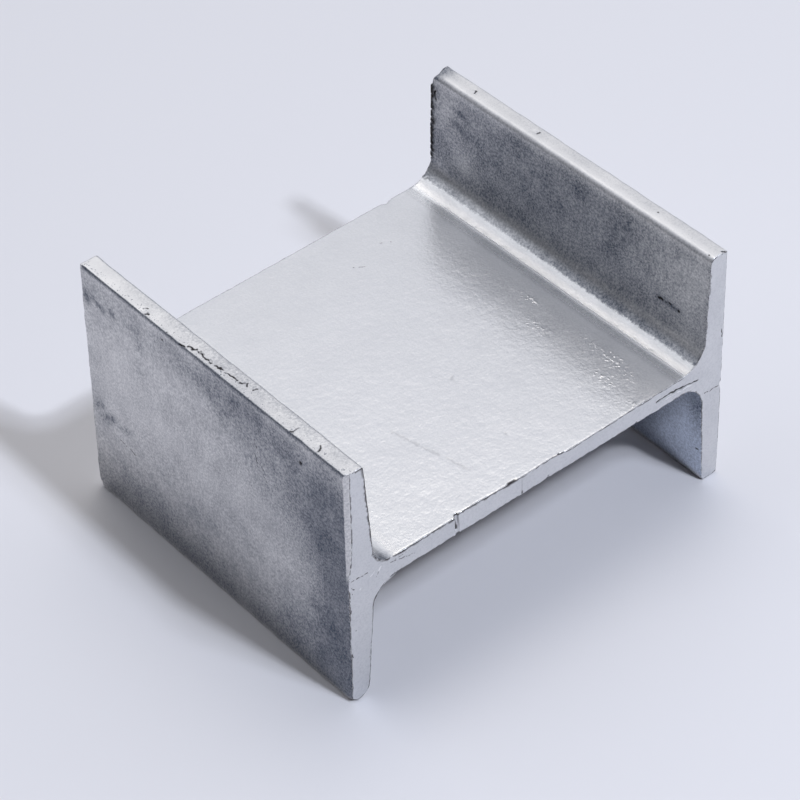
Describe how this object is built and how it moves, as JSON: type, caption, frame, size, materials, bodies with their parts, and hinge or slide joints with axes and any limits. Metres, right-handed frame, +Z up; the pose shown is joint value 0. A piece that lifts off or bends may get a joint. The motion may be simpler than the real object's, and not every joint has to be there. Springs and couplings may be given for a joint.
{
  "type": "steel i-beam",
  "caption": "Short sawn offcut of small hot-rolled steel I-beam: tapered flanges joined by a web, with root fillets and rounded toes, lying on its flange toes.",
  "frame": {"origin": "bottom centre of the bounding box, on the surface that the four flange toe lines stand on", "axes": "+X across the section from the left flange to the right one, +Y along the rolling direction from the end sawn in two passes to the other end, +Z up, normal to the web"},
  "size_m": [0.1, 0.0854, 0.0602],
  "materials": {
    "silver_steel": "silver-grey coated rolled steel, satin, slightly hammered, with handling smudges"
  },
  "bodies": {
    "root": {"i_beam": "silver_steel"}
  },
  "joints": []
}
